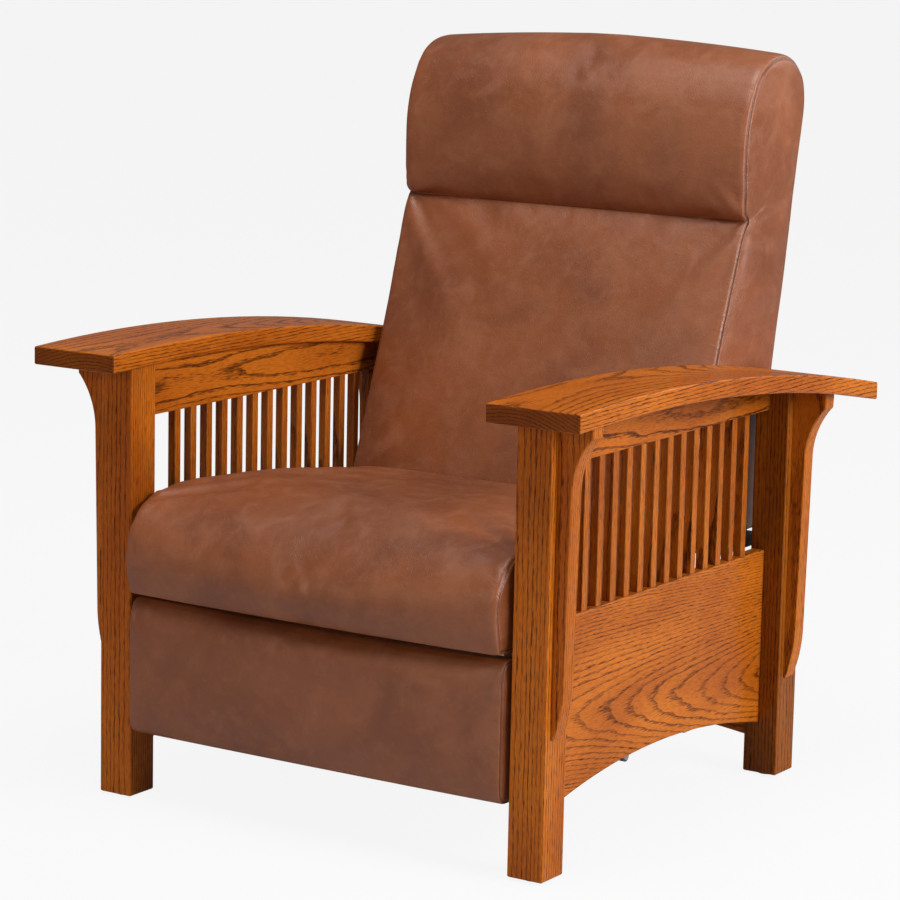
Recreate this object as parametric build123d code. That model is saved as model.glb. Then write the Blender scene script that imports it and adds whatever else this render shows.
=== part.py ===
from build123d import *
import math
import os

# A mission reclining armchair: an oak frame with bowed arms, corbels and slatted sides, and a
# leather seat, back and footrest that are carried by hidden steel links. Millimetres, +Z up.
# The sitter faces -Y, so the sitter's left is +X. Until the last lines, x is counted from the
# middle of the chair, y from the front of the front posts and z from the floor.

# Half widths of the cushions, and the gaps that set the arms and posts beside them
seat_half_width = 303.0
seat_clearance = 4.0
back_inset = 16.0
back_clearance = 6.5
back_half_width = seat_half_width - back_inset

# Posts and their glides
posts_depth = 694.0
post_side = 53.0
posts_width = 2 * (seat_half_width + seat_clearance + post_side)
post_ease = 2.5
foot_ease = 1.5
glide_radius = 15.0
glide_height = 4.0

# Arms, bowed upward between their ends
arm_inner = back_half_width + back_clearance
arm_width = 138.5
arm_thickness = 25.0
arm_front_overhang = 55.5
arm_rear_overhang = 79.6
arm_front_top = 627.9
arm_rear_top = 566.7
arm_rise = 26.0
arm_ease = 2.5
glue_line = 0.2

# Side frames: a rail under the arm, square spindles, and a panel with an arched lower edge
side_thickness = 19.0
side_setback = 31.3
rail_bottom = 532.5
panel_top = 331.0
panel_end_bottom = 77.5
panel_mid_bottom = 112.0
tenon_length = 15.0
tenon_thickness = 9.0
tenon_shoulder = 8.0
tenon_fit = 0.2
spindle_count = 14
spindle_side = 13.0
spindle_end_gap = 58.0
spindle_tenon = 7.0
spindle_ease = 1.0
side_ease = 1.2

# Corbels, with the outline of the outer edge as shares of the projection and the length
corbel_thickness = 25.0
corbel_setback = 13.0
corbel_projection = 52.0
corbel_length = 415.0
corbel_ease = 2.0
corbel_shoulder_share = (0.97, 0.05)
corbel_waist_share = (0.41, 0.227)
corbel_heel_share = (0.33, 0.83)
corbel_tip_share = (0.07, 1.0)

# Rear stretcher between the rear posts, and a cross rail between the side panels
stretcher_thickness = 19.0
stretcher_bottom = 55.0
stretcher_height = 88.0
stretcher_rise = 20.0
stretcher_setback = 8.0
cross_rail_thickness = 22.0
cross_rail_height = 50.0
cross_rail_front = 458.0
cross_rail_bottom = 98.0

# Dowels that join each arm to its posts
dowel_radius = 6.0
dowel_depth_in_post = 32.0
dowel_depth_in_arm = 14.0
dowel_fit = 0.1

# Steel plates and bars of the mechanism, in layers that step inward from the side panel
plate_thickness = 3.0
layer_gap = 1.3
bar_half_width = 8.0
flange_width = 36.0
rivet_radius = 3.0
rivet_head_radius = 5.5
rivet_head = 0.8
rivet_play = 0.05
head_play = 0.1
screw_radius = 2.0
screw_head_radius = 4.2
screw_head = 1.2
screw_bite = 11.0
screw_play = 0.1

# Base plates and the carrying links of the seat
base_front = 84.0
base_rear = 470.0
carrier_front_pivot = 150.0
carrier_spacing = 250.0
carrier_pivot_height = 165.0
carrier_length = 70.0
carrier_lean = 20.0
base_half_height = 15.0
base_screw_shares = (0.05, 0.38, 0.57, 0.95)

# Seat plates, and the pivots of the footrest links and of the back on them
lift_pivot_y = 200.0
lift_pivot_z = 235.0
lift_length = 185.0
lift_rest_angle = -50.0
lift_travel = 115.0
link_spacing = 75.0
link_spacing_angle = 153.0
reach_length = 285.0
guide_length = 216.0
control_pin_rear = 12.77
control_pin_down = 32.76
footrest_turn = 95.0
torque_tube_radius = 8.0
torque_tube_wall = 1.5
torque_tube_reach = 90.0
hinge_y = 520.0
hinge_z = 320.0
recline_travel = 28.0
seat_plate_front = 112.0
seat_plate_web = 27.0
seat_plate_lug = 13.0

# Seat cushion, with the side outline as shares of its length and its height
seat_front = -27.0
seat_rear = 485.0
seat_bottom = 293.0
seat_top = 443.0
seat_crown = 8.0
seat_bow = 4.0
seat_side_round = 6.0
seat_draw = 3.0
seat_nose_shares = ((0.019, 0.0), (0.0, 0.42), (0.037, 0.715), (0.082, 0.885), (0.159, 0.985))
seat_top_shares = ((0.516, 0.95), (1.0, 0.74))
seat_heel_share = (0.921, 0.0)
round_shares = (0.0, 0.3, 1.0)
middle_shares = (0.75, 0.5, 0.25, 0.0)

# Seat frame of boards inside the cushion
board_thickness = 25.0
seat_frame_front = 6.0
seat_frame_rear = 436.0
seat_frame_height = 47.0
seat_skirt = 11.0
cover_gap = 1.0

# Zigzag springs
wire_radius = 1.9
spring_bend_share = 0.45
spring_width = 44.0
spring_pitch = 38.0
spring_seat = 12.0
seat_spring_count = 5
back_spring_count = 4

# Back: cushions, with the outline of the head roll as shares of its depth and height
back_bottom = 346.0
back_front_low = 470.5
head_seam_height = 794.0
head_seam_front = 630.0
back_rear_low = 690.0
back_rear_seam = 771.5
back_bow = 7.0
back_side_round = 7.0
back_draw = 3.0
seam_gap = 0.5
head_top = 1028.5
head_front = 622.0
head_rear = 801.0
head_crown = 3.0
head_face_shares = ((0.0, 0.27), (0.025, 0.54), (0.19, 0.86), (0.62, 0.985))
head_rear_shares = ((0.89, 0.985), (0.995, 0.8), (1.0, 0.55))

# Back frame of boards, set in a pocket behind the cushions
stile_thickness = 25.0
stile_depth = 38.0
stile_top = 940.0
back_wrap = 9.0
outside_back_thickness = 5.0
back_rail_height = 50.0

# Footrest
footrest_half_width = seat_half_width
footrest_front = -10.0
footrest_rear = 34.0
footrest_bottom = 98.0
footrest_top = 285.0
footrest_round = 9.0
footrest_bow = 4.0
footrest_side_round = 4.0
footrest_draw = 2.5
footrest_board_thickness = 12.0
footrest_board_inset = 10.0

overrun = 60.0
steel_flange_top = seat_bottom - layer_gap / 2

inner_face = posts_width / 2 - post_side
rear_post_front = posts_depth - post_side
side_outer = posts_width / 2 - side_setback
side_inner = side_outer - side_thickness
side_middle = side_outer - side_thickness / 2
arm_outer = arm_inner + arm_width


def block(x, y, z):
    """A box between two x places, two y places and two heights."""
    centre = (sum(x) / 2, sum(y) / 2, sum(z) / 2)
    return Pos(*centre) * Box(x[1] - x[0], y[1] - y[0], z[1] - z[0])


def across(outline, x):
    """An outline drawn in y and z, made solid between two x places."""
    return extrude(Plane.YZ.offset(x[0]) * outline, x[1] - x[0], dir=(1, 0, 0))


def backward(outline, y):
    """An outline drawn in x and z, made solid between two y places."""
    return extrude(Plane.XZ.offset(-y[0]) * outline, y[1] - y[0], dir=(0, 1, 0))


def shape_of(*lines):
    """The flat face inside a closed run of lines and arcs."""
    run = lines[0]
    for line in lines[1:]:
        run = run + line
    return make_face(run)


def other_side(shape):
    return mirror(shape, about=Plane.YZ)


def both_sides(*shapes):
    """One group of separate solids: each shape and its mirror image."""
    solids = []
    for shape in shapes:
        solids += shape.solids()
        solids += other_side(shape).solids()
    return Compound(solids)


def group(shapes):
    solids = []
    for shape in shapes:
        solids += shape.solids()
    return Compound(solids)


def polar(start, length, degrees):
    angle = math.radians(degrees)
    return Vector(start.X + length * math.cos(angle), start.Y + length * math.sin(angle))


# The arm's curve: a circle through its two ends and the top of its rise

arm_front_end = Vector(-arm_front_overhang, arm_front_top)
arm_rear_end = Vector(posts_depth + arm_rear_overhang, arm_rear_top)
arm_chord = arm_rear_end - arm_front_end
arm_normal = Vector(-arm_chord.Y, arm_chord.X).normalized()
arm_crest = (arm_front_end + arm_rear_end) / 2 + arm_normal * arm_rise
arm_radius = (arm_chord.length ** 2 / 4 + arm_rise ** 2) / (2 * arm_rise)
arm_centre = arm_crest - arm_normal * arm_radius


def arm_top_at(y):
    return arm_centre.Y + math.sqrt(arm_radius ** 2 - (y - arm_centre.X) ** 2)


def arm_arc(drop):
    low = Vector(0, -drop)
    return ThreePointArc(arm_front_end + low, arm_crest + low, arm_rear_end + low)


def bowed_band(upper_drop, lower_drop):
    upper = arm_arc(upper_drop)
    lower = arm_arc(lower_drop)
    return shape_of(upper, Line(upper @ 1, lower @ 1), lower, Line(lower @ 0, upper @ 0))


def make_arm():
    arm = across(bowed_band(0, arm_thickness), (arm_inner, arm_outer))
    return fillet(arm.edges(), arm_ease)


def below_arm(shape):
    """Cuts a piece to the arm's underside, less a glue line."""
    cutter = across(bowed_band(-overrun * 2, arm_thickness + glue_line), (0, arm_outer + overrun))
    return shape - cutter


# Posts, rails, panels and spindles of one side

rail_rear_top = arm_top_at(rear_post_front) - arm_thickness
rail_tenon_z = (rail_bottom + tenon_shoulder, rail_rear_top - tenon_shoulder)
panel_tenon_z = (panel_mid_bottom + tenon_shoulder, panel_top - tenon_shoulder)
spindle_pitch = (rear_post_front - post_side - 2 * spindle_end_gap) / (spindle_count - 1)


def side_tenons(z, grow):
    """Both end tenons of a rail or panel, or their mortises when they are grown by the fit."""
    half = tenon_thickness / 2 + grow
    x = (side_middle - half, side_middle + half)
    ends = (post_side - tenon_length - grow, rear_post_front + tenon_length + grow)
    return block(x, ends, (z[0] - grow, z[1] + grow))


def dowel(x, y, grow):
    under = arm_top_at(y) - arm_thickness
    height = dowel_depth_in_post + dowel_depth_in_arm + 2 * grow
    middle = under + (dowel_depth_in_arm - dowel_depth_in_post) / 2
    return Pos(x, y, middle) * Cylinder(dowel_radius + grow, height)


post_x = posts_width / 2 - post_side / 2
post_places = {"front": post_side / 2, "rear": posts_depth - post_side / 2}


def make_post(y):
    half = post_side / 2
    post = block((post_x - half, post_x + half), (y - half, y + half), (glide_height, arm_front_top))
    post = fillet(post.edges().filter_by(Axis.Z), post_ease)
    post = chamfer(post.faces().sort_by(Axis.Z)[0].edges(), foot_ease)
    post = below_arm(post)
    post -= side_tenons(rail_tenon_z, tenon_fit)
    post -= side_tenons(panel_tenon_z, tenon_fit)
    return post - dowel(post_x, y, dowel_fit)


def make_upper_rail():
    rail = block((side_inner, side_outer), (post_side, rear_post_front), (rail_bottom, arm_front_top))
    rail = fillet(rail.faces().sort_by(Axis.Z)[0].edges().filter_by(Axis.Y), side_ease)
    return below_arm(rail) + side_tenons(rail_tenon_z, 0)


def make_side_panel():
    front_low = Vector(post_side, panel_end_bottom)
    rear_low = Vector(rear_post_front, panel_end_bottom)
    crest = Vector((post_side + rear_post_front) / 2, panel_mid_bottom)
    outline = shape_of(
        Line(front_low, (post_side, panel_top)),
        Line((post_side, panel_top), (rear_post_front, panel_top)),
        Line((rear_post_front, panel_top), rear_low),
        ThreePointArc(rear_low, crest, front_low),
    )
    panel = across(outline, (side_inner, side_outer))
    rims = panel.edges().filter_by(GeomType.CIRCLE)
    rims += panel.faces().sort_by(Axis.Z)[-1].edges().filter_by(Axis.Y)
    return chamfer(rims, side_ease) + side_tenons(panel_tenon_z, 0)


def spindle_row(grow):
    """The spindles, or the mortises for their ends when they are grown by the fit."""
    half = spindle_side / 2 + grow
    reach = spindle_tenon + grow
    row = []
    for i in range(spindle_count):
        y = post_side + spindle_end_gap + i * spindle_pitch
        x = (side_middle - half, side_middle + half)
        spindle = block(x, (y - half, y + half), (panel_top - reach, rail_bottom + reach))
        if not grow:
            spindle = chamfer(spindle.edges().filter_by(Axis.Z), spindle_ease)
        row.append(spindle)
    return group(row)


def make_corbel(y):
    """A bracket on the outer face of a post, cut to the arm's underside."""
    outer = posts_width / 2
    top = arm_top_at(y + corbel_thickness / 2) - arm_thickness
    up = arm_thickness / 2

    def at(share):
        return Vector(outer + corbel_projection * share[0], top - corbel_length * share[1])

    crown = Vector(outer, top + up)
    corner = Vector(outer + corbel_projection, top + up)
    shoulder = at(corbel_shoulder_share)
    waist = at(corbel_waist_share)
    heel = at(corbel_heel_share)
    tip = at(corbel_tip_share)
    foot = at((0, 1))
    outline = shape_of(
        Line(crown, corner),
        Line(corner, shoulder),
        TangentArc(waist, shoulder, tangent=waist - heel),
        Line(waist, heel),
        TangentArc(heel, tip, tangent=heel - waist),
        Line(tip, foot),
        Line(foot, crown),
    )
    corbel = backward(outline, (y, y + corbel_thickness))
    rim = corbel.edges().filter_by(lambda edge: abs(edge.tangent_at(0.5).Y) < 0.5)
    rim = rim.filter_by(lambda edge: edge.center().X > outer + glue_line)
    rim = rim.filter_by(lambda edge: edge.center().Z < crown.Y - glue_line)
    return below_arm(fillet(rim, corbel_ease))


def make_stretcher():
    half = inner_face
    low = stretcher_bottom
    high = stretcher_bottom + stretcher_height
    outline = shape_of(
        Line((-half, low), (-half, high)),
        Line((-half, high), (half, high)),
        Line((half, high), (half, low)),
        ThreePointArc((half, low), (0, low + stretcher_rise), (-half, low)),
    )
    front = rear_post_front + stretcher_setback
    stretcher = backward(outline, (front, front + stretcher_thickness))
    rims = stretcher.edges().filter_by(GeomType.CIRCLE)
    rims += stretcher.faces().sort_by(Axis.Z)[-1].edges().filter_by(Axis.X)
    return chamfer(rims, side_ease)


# Steel work: layers, bars, rivets and screws


def layer(number):
    """The inner and outer x of a layer of steel, counted inward from the side panel."""
    outer = side_inner - number * (plate_thickness + layer_gap)
    return (outer - plate_thickness, outer)


base_layer = layer(0)
carrier_layer = layer(1)
seat_layer = layer(2)
swing_layer = layer(3)
reach_layer = layer(4)
bracket_layer = layer(5)
control_layer = layer(6)


def bar(start, end, half_width=bar_half_width):
    """A bar with round ends between two pivots, drawn in y and z."""
    span = end - start
    middle = (start + end) / 2
    turn = math.degrees(math.atan2(span.Y, span.X))
    return Pos(middle.X, middle.Y) * Rot(0, 0, turn) * SlotCenterToCenter(span.length, 2 * half_width)


def pivot_holes(pivots):
    holes = Sketch()
    for pivot in pivots:
        holes += Pos(pivot.X, pivot.Y) * Circle(rivet_radius + rivet_play)
    return holes


def rod(pivot, radius, x):
    return across(Pos(pivot.X, pivot.Y) * Circle(radius), x)


def rivet(pivot, inner, outer, outer_head=True):
    """A rivet through every layer from the inner one to the outer one."""
    start = inner[0] - head_play
    end = outer[1] + (head_play if outer_head else 0)
    pin = rod(pivot, rivet_radius, (start, end))
    pin += rod(pivot, rivet_head_radius, (start - rivet_head, start))
    if outer_head:
        pin += rod(pivot, rivet_head_radius, (end, end + rivet_head))
    return pin


def screw(place, direction, grow=0):
    """A pan head screw whose head sits at a place and whose shank points along a direction."""
    seat = Plane(origin=place, z_dir=direction)
    shank = plate_thickness + screw_bite + grow
    body = seat * Pos(0, 0, shank / 2) * Cylinder(screw_radius + grow, shank)
    if grow:
        return body
    return body + seat * Pos(0, 0, -screw_head / 2) * Cylinder(screw_head_radius, screw_head)


# Pivots at rest, in y and z

base_pivots = (
    Vector(carrier_front_pivot, carrier_pivot_height),
    Vector(carrier_front_pivot + carrier_spacing, carrier_pivot_height),
)
carrier_tops = tuple(polar(p, carrier_length, 90 - carrier_lean) for p in base_pivots)
lift_pivot = Vector(lift_pivot_y, lift_pivot_z)
guide_pivot = polar(lift_pivot, link_spacing, link_spacing_angle)
lift_end = polar(lift_pivot, lift_length, lift_rest_angle)
guide_joint = polar(guide_pivot, lift_length, lift_rest_angle)
control_start = polar(guide_pivot, guide_length, lift_rest_angle)
footrest_pivot = polar(lift_end, reach_length, link_spacing_angle)
control_end = footrest_pivot + Vector(control_pin_rear, -control_pin_down)
torque_axis = polar(lift_pivot, torque_tube_reach, lift_rest_angle)
hinge_pivot = Vector(hinge_y, hinge_z)


def swing(point, centre, degrees):
    """A point turned about a centre in y and z."""
    arm = point - centre
    angle = math.radians(degrees)
    turned_y = arm.X * math.cos(angle) - arm.Y * math.sin(angle)
    turned_z = arm.X * math.sin(angle) + arm.Y * math.cos(angle)
    return centre + Vector(turned_y, turned_z)


def control_ratio():
    """How far the control link turns on its guide link for each turn of the lift link."""
    open_start = swing(control_start, guide_pivot, -lift_travel)
    open_pivot = footrest_pivot + swing(lift_end, lift_pivot, -lift_travel) - lift_end
    open_end = open_pivot + swing(control_end, footrest_pivot, -footrest_turn) - footrest_pivot
    rest_run = control_end - control_start
    open_run = open_end - open_start
    rest_angle = math.degrees(math.atan2(rest_run.Y, rest_run.X))
    open_angle = math.degrees(math.atan2(open_run.Y, open_run.X))
    return (rest_angle - open_angle - lift_travel) / lift_travel


base_screw_ys = [base_front + (base_rear - base_front) * share for share in base_screw_shares]


def base_screws(grow=0):
    inner = base_layer[0]
    return [screw((inner, y, carrier_pivot_height), (1, 0, 0), grow) for y in base_screw_ys]


def make_base_plate():
    low = carrier_pivot_height - base_half_height
    high = carrier_pivot_height + base_half_height
    plate = block(base_layer, (base_front, base_rear), (low, high))
    plate = fillet(plate.edges().filter_by(Axis.X), base_half_height / 2)
    plate -= across(pivot_holes(base_pivots), base_layer)
    for shank in base_screws(screw_play):
        plate -= shank
    return plate


flange_inner = seat_layer[1] - flange_width
seat_frame_top = seat_bottom + seat_frame_height
side_board_outer = seat_half_width - seat_skirt - cover_gap
side_board = (side_board_outer - board_thickness, side_board_outer)
seat_plate_rear = seat_frame_rear + cover_gap
seat_screw_x = (flange_inner + side_board[1]) / 2
seat_screw_shares = (0.08, 0.5, 0.92)


def seat_screws(grow=0):
    length = seat_plate_rear - seat_plate_front
    low = steel_flange_top - plate_thickness
    places = [seat_plate_front + length * share for share in seat_screw_shares]
    return [screw((seat_screw_x, y, low), (0, 0, 1), grow) for y in places]


def make_seat_plate():
    """A stamped plate with lugs for the pivots and a flange under the seat frame."""
    flange_low = steel_flange_top - plate_thickness
    web = Vector(0, flange_low - seat_plate_web)
    middle_z = (web.Y + flange_low) / 2
    ear = hinge_y + seat_plate_lug
    outline = Pos((seat_plate_front + ear) / 2, middle_z) * Rectangle(ear - seat_plate_front, seat_plate_web)
    for pivot in (*carrier_tops, lift_pivot, guide_pivot, hinge_pivot):
        outline += bar(pivot, Vector(pivot.X, middle_z), seat_plate_lug)
    pivots = (*carrier_tops, lift_pivot, guide_pivot, hinge_pivot)
    plate = across(outline - pivot_holes(pivots), seat_layer)
    flange_x = (flange_inner, seat_layer[1])
    plate += block(flange_x, (seat_plate_front, seat_plate_rear), (flange_low, steel_flange_top))
    for shank in seat_screws(screw_play):
        plate -= shank
    return plate


def make_link(points, pivots, x, half_width=bar_half_width):
    return across(bar(points[0], points[1], half_width) - pivot_holes(pivots), x)


# Cushions: one outline lofted across the width, fuller in the middle and rounded at the sides


def fullness(x, half_width):
    """1 in the middle of the width and 0 at the sides."""
    return 1 - (x / half_width) ** 2


def loft_cushion(outline_at, half_width, side_round):
    """Sections from side to side, each told how full it is and how far the rounding draws it in."""
    right = [half_width - side_round * share for share in round_shares]
    right += [half_width * share for share in middle_shares]
    sections = []
    for x in [-x for x in right] + right[-2::-1]:
        away = max(0, abs(x) - half_width + side_round)
        inset = side_round - math.sqrt(side_round ** 2 - away ** 2)
        outline = outline_at(fullness(x, half_width), inset)
        sections.append(Plane.YZ.offset(x) * outline)
    return loft(sections, ruled=True)


def draw_in(cushion, half_width, depth, start, end, axis):
    """Pulls both sides in between the ends of a cushion, along one axis."""
    half = (end - start) / 2
    radius = (half ** 2 + depth ** 2) / (2 * depth)
    far = half_width - depth + radius
    middle = (start + end) / 2
    for side in (-1, 1):
        if axis == "y":
            cutter = Pos(side * far, middle, head_top / 2) * Cylinder(radius, head_top)
        else:
            cutter = Pos(side * far, seat_rear, middle) * Rot(90, 0, 0) * Cylinder(radius, posts_depth * 2)
        cushion -= cutter
    return cushion


def seat_outline(full, inset):
    front = seat_front - seat_bow * full + inset
    top = seat_top + seat_crown * full - inset

    def at(shares):
        return Vector(front + (seat_rear - front) * shares[0], seat_bottom + (top - seat_bottom) * shares[1])

    toe, nose, cheek, brow, crest = map(at, seat_nose_shares)
    back_top = at(seat_top_shares[1])
    heel = at(seat_heel_share)
    return shape_of(
        ThreePointArc(toe, nose, cheek),
        ThreePointArc(cheek, brow, crest),
        ThreePointArc(crest, at(seat_top_shares[0]), back_top),
        Line(back_top, heel),
        Line(heel, toe),
    )


def make_seat_cushion():
    cushion = loft_cushion(seat_outline, seat_half_width, seat_side_round)
    cushion = draw_in(cushion, seat_half_width, seat_draw, seat_front, seat_rear, "y")
    pocket_half = side_board[1] + cover_gap
    pocket_y = (seat_frame_front - cover_gap, seat_frame_rear + cover_gap)
    pocket_top = seat_frame_top + 2 * wire_radius + 2 * cover_gap
    return cushion - block((-pocket_half, pocket_half), pocket_y, (seat_bottom - overrun, pocket_top))


def make_seat_side_board():
    board = block(side_board, (seat_frame_front, seat_frame_rear), (steel_flange_top, seat_frame_top))
    for shank in seat_screws(screw_play):
        board -= shank
    return board


def make_seat_cross_board(front):
    inner = side_board[0]
    return block((-inner, inner), (front, front + board_thickness), (steel_flange_top, seat_frame_top))


def zigzag_wire(length):
    """A sinuous spring that runs along y, with straight ends that lie on the rails."""
    half = spring_width / 2
    turns = 2 * round((length - 2 * spring_seat) / (2 * spring_pitch))
    step = (length - 2 * spring_seat) / turns
    points = [(0, 0), (0, spring_seat)]
    for i in range(turns):
        side = half if i % 2 == 0 else -half
        points += [(side, spring_seat + i * step), (side, spring_seat + (i + 1) * step)]
    points += [(0, length - spring_seat), (0, length)]
    path = FilletPolyline(*points, radius=min(step, spring_seat) * spring_bend_share)
    return extrude(trace(path, line_width=2 * wire_radius), 2 * wire_radius)


def spring_places(half_span, count):
    """The x of each spring, shared out evenly between two side members."""
    spacing = 2 * half_span / count
    return [(i - (count - 1) / 2) * spacing for i in range(count)]


def make_seat_springs():
    start = seat_frame_front + board_thickness / 2
    length = seat_frame_rear - seat_frame_front - board_thickness
    wire = zigzag_wire(length)
    height = seat_frame_top + rivet_play
    places = spring_places(side_board[0], seat_spring_count)
    return group([Pos(x, start, height) * wire for x in places])


# Back

rear_slope = (back_rear_seam - back_rear_low) / (head_seam_height - back_bottom)
front_slope = (head_seam_front - back_front_low) / (head_seam_height - back_bottom)


def rear_line(z, depth=0):
    """The rear of the back at a height, less a depth."""
    return back_rear_low + (z - back_bottom) * rear_slope - depth


def slanted(x, z, near, far):
    """A board that follows the rear of the back, between two depths from it."""
    outline = Polygon(
        (rear_line(z[0], near), z[0]),
        (rear_line(z[0], far), z[0]),
        (rear_line(z[1], far), z[1]),
        (rear_line(z[1], near), z[1]),
        align=None,
    )
    return across(outline, x)


frame_near = outside_back_thickness
frame_far = outside_back_thickness + stile_depth
stile_outer = back_half_width - back_wrap - cover_gap
stile_inner = stile_outer - stile_thickness


def back_pocket():
    half = stile_outer + cover_gap
    far = frame_far + 2 * wire_radius + 2 * cover_gap
    return slanted((-half, half), (back_bottom - overrun, stile_top + cover_gap), -overrun, far)


def lower_back_outline(full, inset):
    low = Vector(back_front_low + inset, back_bottom)
    high_z = head_seam_height - seam_gap
    high = Vector(head_seam_front + inset, high_z)
    middle = (low + high) / 2 - Vector(back_bow * (1 + full) / 2, 0)
    rear_high = Vector(rear_line(high_z, inset), high_z)
    rear_low = Vector(back_rear_low - inset, back_bottom)
    return shape_of(
        ThreePointArc(low, middle, high),
        Line(high, rear_high),
        Line(rear_high, rear_low),
        Line(rear_low, low),
    )


def make_lower_back():
    cushion = loft_cushion(lower_back_outline, back_half_width, back_side_round)
    cushion = draw_in(cushion, back_half_width, back_draw, back_bottom, head_seam_height, "z")
    return cushion - back_pocket()


def head_outline(full, inset):
    front = head_front - head_crown * full + inset
    top = head_top + head_crown * full - inset
    rear = head_rear - inset
    low = head_seam_height

    def at(shares):
        return Vector(front + (rear - front) * shares[0], low + (top - low) * shares[1])

    seam = Vector(head_seam_front + inset, low)
    face, brow, temple, crest = map(at, head_face_shares)
    nape, corner, bulge = map(at, head_rear_shares)
    heel = Vector(rear_line(low, inset), low)
    return shape_of(
        ThreePointArc(seam, face, brow),
        ThreePointArc(brow, temple, crest),
        ThreePointArc(crest, nape, corner),
        ThreePointArc(corner, bulge, heel),
        Line(heel, seam),
    )


def make_head_cushion():
    cushion = loft_cushion(head_outline, back_half_width, back_side_round)
    cushion = draw_in(cushion, back_half_width, back_draw, head_seam_height, head_top, "z")
    return cushion - back_pocket()


def make_outside_back():
    half = stile_outer
    return slanted((-half, half), (back_bottom, stile_top), 0, outside_back_thickness - rivet_play)


back_screw_x = (stile_inner + stile_outer) / 2
back_screw_shares = (0.25, 0.75)
bracket_flange_low = back_bottom - plate_thickness
bracket_rear = rear_line(back_bottom, frame_near)


def back_screws(grow=0):
    front = rear_line(back_bottom, frame_far)
    ys = [front + stile_depth * share for share in back_screw_shares]
    return [screw((back_screw_x, y, bracket_flange_low), (0, 0, 1), grow) for y in ys]


def make_stile():
    stile = slanted((stile_inner, stile_outer), (back_bottom, stile_top), frame_near, frame_far)
    for shank in back_screws(screw_play):
        stile -= shank
    return stile


def make_back_rail(bottom):
    return slanted((-stile_inner, stile_inner), (bottom, bottom + back_rail_height), frame_near, frame_far)


def make_back_springs():
    low = back_bottom + back_rail_height / 2
    high = stile_top - back_rail_height / 2
    lean = math.atan(rear_slope)
    wire = zigzag_wire((high - low) / math.cos(lean))
    depth = frame_far + rivet_play / math.cos(lean)
    up = Vector(0, math.sin(lean), math.cos(lean))
    springs = []
    for x in spring_places(stile_inner, back_spring_count):
        start = (x, rear_line(low, depth), low)
        place = Plane(origin=start, x_dir=(1, 0, 0), z_dir=Vector(1, 0, 0).cross(up))
        springs.append(place.location * wire)
    return group(springs)


def make_back_bracket():
    """An angle bracket from the back's hinge to the feet of the stiles."""
    web_low = bracket_flange_low - seat_plate_web / 2
    front = hinge_y - seat_plate_lug
    outline = Pos((front + bracket_rear) / 2, (web_low + back_bottom) / 2) * Rectangle(
        bracket_rear - front, back_bottom - web_low
    )
    outline += bar(hinge_pivot, Vector(hinge_y, web_low), seat_plate_lug)
    bracket = across(outline - pivot_holes([hinge_pivot]), swing_layer)
    flange_x = (stile_inner, swing_layer[1])
    bracket += block(flange_x, (front, bracket_rear), (bracket_flange_low, back_bottom))
    for shank in back_screws(screw_play):
        bracket -= shank
    return bracket


# Footrest


def footrest_outline(full, inset):
    front = footrest_front - footrest_bow * full + inset
    low = footrest_bottom + inset
    high = footrest_top - inset
    cut = footrest_round * (1 - math.sqrt(1 / 2))
    inner = front + footrest_round
    middle = (low + high) / 2
    lip_low = Vector(front + footrest_bow, low + footrest_round)
    lip_high = Vector(front + footrest_bow, high - footrest_round)
    return shape_of(
        Line((footrest_rear, low), (inner + footrest_bow, low)),
        ThreePointArc((inner + footrest_bow, low), (front + footrest_bow + cut, low + cut), lip_low),
        ThreePointArc(lip_low, (front, middle), lip_high),
        ThreePointArc(lip_high, (front + footrest_bow + cut, high - cut), (inner + footrest_bow, high)),
        Line((inner + footrest_bow, high), (footrest_rear, high)),
        Line((footrest_rear, high), (footrest_rear, low)),
    )


footrest_board_half = footrest_half_width - footrest_board_inset
footrest_board_z = (footrest_bottom + footrest_board_inset, footrest_top - footrest_board_inset)
footrest_board_front = footrest_rear - footrest_board_thickness


def make_footrest_pad():
    pad = loft_cushion(footrest_outline, footrest_half_width, footrest_side_round)
    pad = draw_in(pad, footrest_half_width, footrest_draw, footrest_bottom, footrest_top, "z")
    half = footrest_board_half + cover_gap
    z = (footrest_board_z[0] - cover_gap, footrest_board_z[1] + cover_gap)
    return pad - block((-half, half), (footrest_board_front - rivet_play, footrest_rear + overrun), z)


footrest_screw_x = bracket_layer[0] - flange_width / 2
footrest_screw_rise = flange_width * 0.6


def footrest_screws(grow=0):
    back = footrest_rear + plate_thickness
    heights = (footrest_pivot.Y - footrest_screw_rise, footrest_pivot.Y + footrest_screw_rise)
    return [screw((footrest_screw_x, back, z), (0, -1, 0), grow) for z in heights]


def make_footrest_board():
    half = footrest_board_half
    board = block((-half, half), (footrest_board_front, footrest_rear), footrest_board_z)
    for shank in footrest_screws(screw_play):
        board -= shank
        board -= other_side(shank)
    return board


def make_footrest_bracket():
    outline = bar(Vector(footrest_rear + bar_half_width, footrest_pivot.Y), footrest_pivot)
    outline += bar(footrest_pivot, control_end)
    start = footrest_rear
    heel = Rectangle(bar_half_width, 2 * bar_half_width)
    outline += Pos(start + bar_half_width / 2, footrest_pivot.Y) * heel
    bracket = across(outline - pivot_holes([footrest_pivot, control_end]), bracket_layer)
    flange_x = (bracket_layer[0] - flange_width, bracket_layer[1])
    z = (footrest_pivot.Y - flange_width, footrest_pivot.Y + flange_width)
    bracket += block(flange_x, (start, start + plate_thickness), z)
    for shank in footrest_screws(screw_play):
        bracket -= shank
    return bracket


# Every piece by its name

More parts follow.
